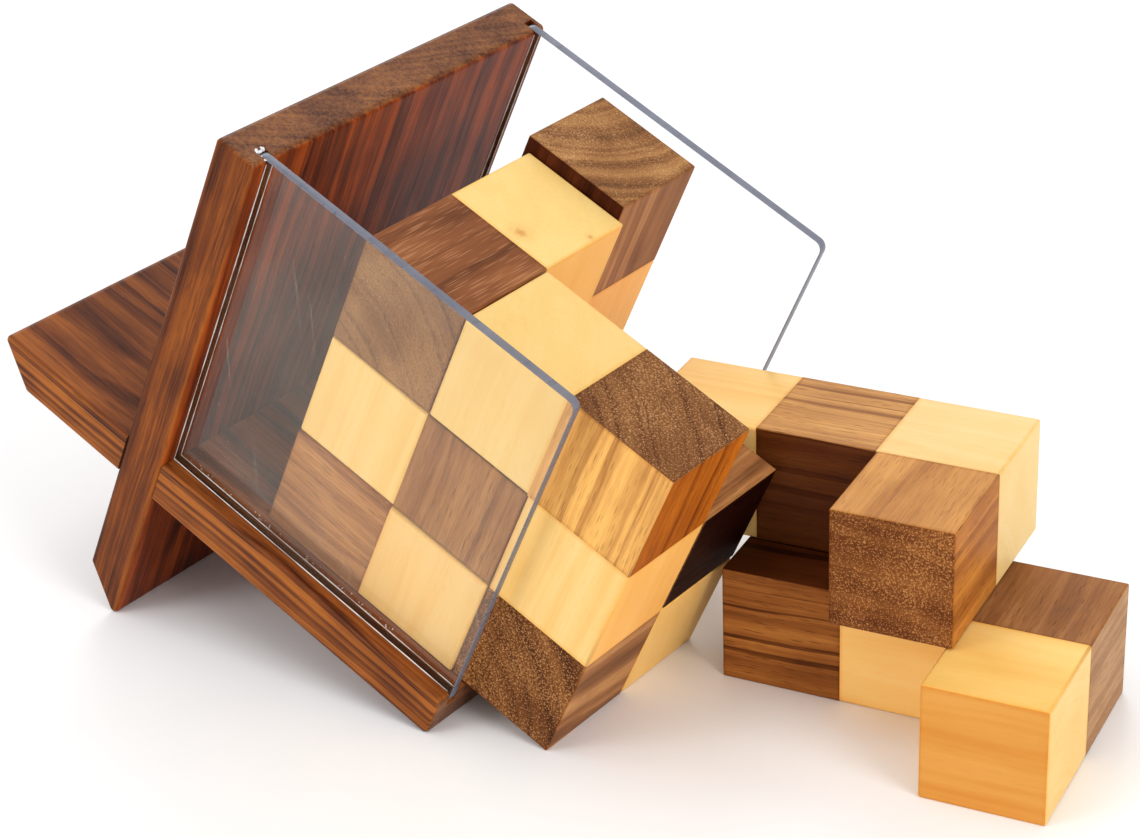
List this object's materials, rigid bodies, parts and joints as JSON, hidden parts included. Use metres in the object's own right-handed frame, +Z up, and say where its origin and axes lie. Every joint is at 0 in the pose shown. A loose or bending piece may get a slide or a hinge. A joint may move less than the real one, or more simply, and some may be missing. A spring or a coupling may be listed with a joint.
{
  "type": "wooden cube puzzle",
  "caption": "Checkered cube puzzle of glued hardwood block pieces, slid part way out of a tilted cradle of crossed boards with clear side panels; L-shaped pieces lie loose beside it.",
  "frame": {"origin": "middle of the base of the whole display, on the table", "axes": "+Z up; +X from the cradle towards the loose pieces, along the lower board seen from above; +Y across the cradle, away from the near panel"},
  "size_m": [0.2212, 0.0954, 0.1156],
  "materials": {
    "dark_hardwood": "open-pored dark hardwood, sanded and oiled, end grain and long grain",
    "light_hardwood": "close-grained yellow hardwood, sanded and oiled",
    "cradle_rosewood": "reddish brown rosewood boards, polished",
    "clear_acrylic": "clear polished sheet with light scratches"
  },
  "bodies": {
    "cradle": {"cradle_upper_board": "cradle_rosewood", "cradle_lower_board": "cradle_rosewood", "cradle_near_panel": "clear_acrylic", "cradle_far_panel": "clear_acrylic"},
    "bottom_zigzag": {"bottom_zigzag_dark_1": "dark_hardwood", "bottom_zigzag_light_2": "light_hardwood", "bottom_zigzag_dark_3": "dark_hardwood", "bottom_zigzag_light_4": "light_hardwood"},
    "middle_zigzag": {"middle_zigzag_light_1": "light_hardwood", "middle_zigzag_dark_2": "dark_hardwood", "middle_zigzag_light_3": "light_hardwood", "middle_zigzag_dark_4": "dark_hardwood"},
    "inside_l": {"inside_l_dark_1": "dark_hardwood", "inside_l_light_2": "light_hardwood", "inside_l_dark_3": "dark_hardwood", "inside_l_light_4": "light_hardwood"},
    "near_l": {"near_l_light_1": "light_hardwood", "near_l_dark_2": "dark_hardwood", "near_l_light_3": "light_hardwood", "near_l_dark_4": "dark_hardwood"},
    "far_bar": {"far_bar_dark_1": "dark_hardwood", "far_bar_light_2": "light_hardwood", "far_bar_dark_3": "dark_hardwood"},
    "loose_bottom_l": {"loose_bottom_l_dark_1": "dark_hardwood", "loose_bottom_l_light_2": "light_hardwood", "loose_bottom_l_dark_3": "dark_hardwood", "loose_bottom_l_light_4": "light_hardwood"},
    "loose_top_l": {"loose_top_l_light_1": "light_hardwood", "loose_top_l_dark_2": "dark_hardwood", "loose_top_l_light_3": "light_hardwood", "loose_top_l_dark_4": "dark_hardwood"}
  },
  "joints": [
    {"name": "cube_slide", "type": "slide", "parent": "cradle", "child": "bottom_zigzag", "axis": [-0.9071, 0, 0.4208], "range_m": [0, 0.0207]},
    {"name": "middle_zigzag_lift", "type": "slide", "parent": "bottom_zigzag", "child": "middle_zigzag", "axis": [0.4208, 0, 0.9071], "range_m": [0, 0.055]},
    {"name": "inside_l_lift", "type": "slide", "parent": "middle_zigzag", "child": "inside_l", "axis": [0.4208, 0, 0.9071], "range_m": [0, 0.08]},
    {"name": "near_l_lift", "type": "slide", "parent": "middle_zigzag", "child": "near_l", "axis": [0.4208, 0, 0.9071], "range_m": [0, 0.08]},
    {"name": "far_bar_lift", "type": "slide", "parent": "bottom_zigzag", "child": "far_bar", "axis": [0.4208, 0, 0.9071], "range_m": [-0.003, 0.08]},
    {"name": "loose_bottom_l_lift", "type": "slide", "parent": "cradle", "child": "loose_bottom_l", "axis": [0.4208, 0, 0.9071], "range_m": [0, 0.06]},
    {"name": "loose_top_l_lift", "type": "slide", "parent": "loose_bottom_l", "child": "loose_top_l", "axis": [0.4208, 0, 0.9071], "range_m": [0, 0.06]}
  ]
}
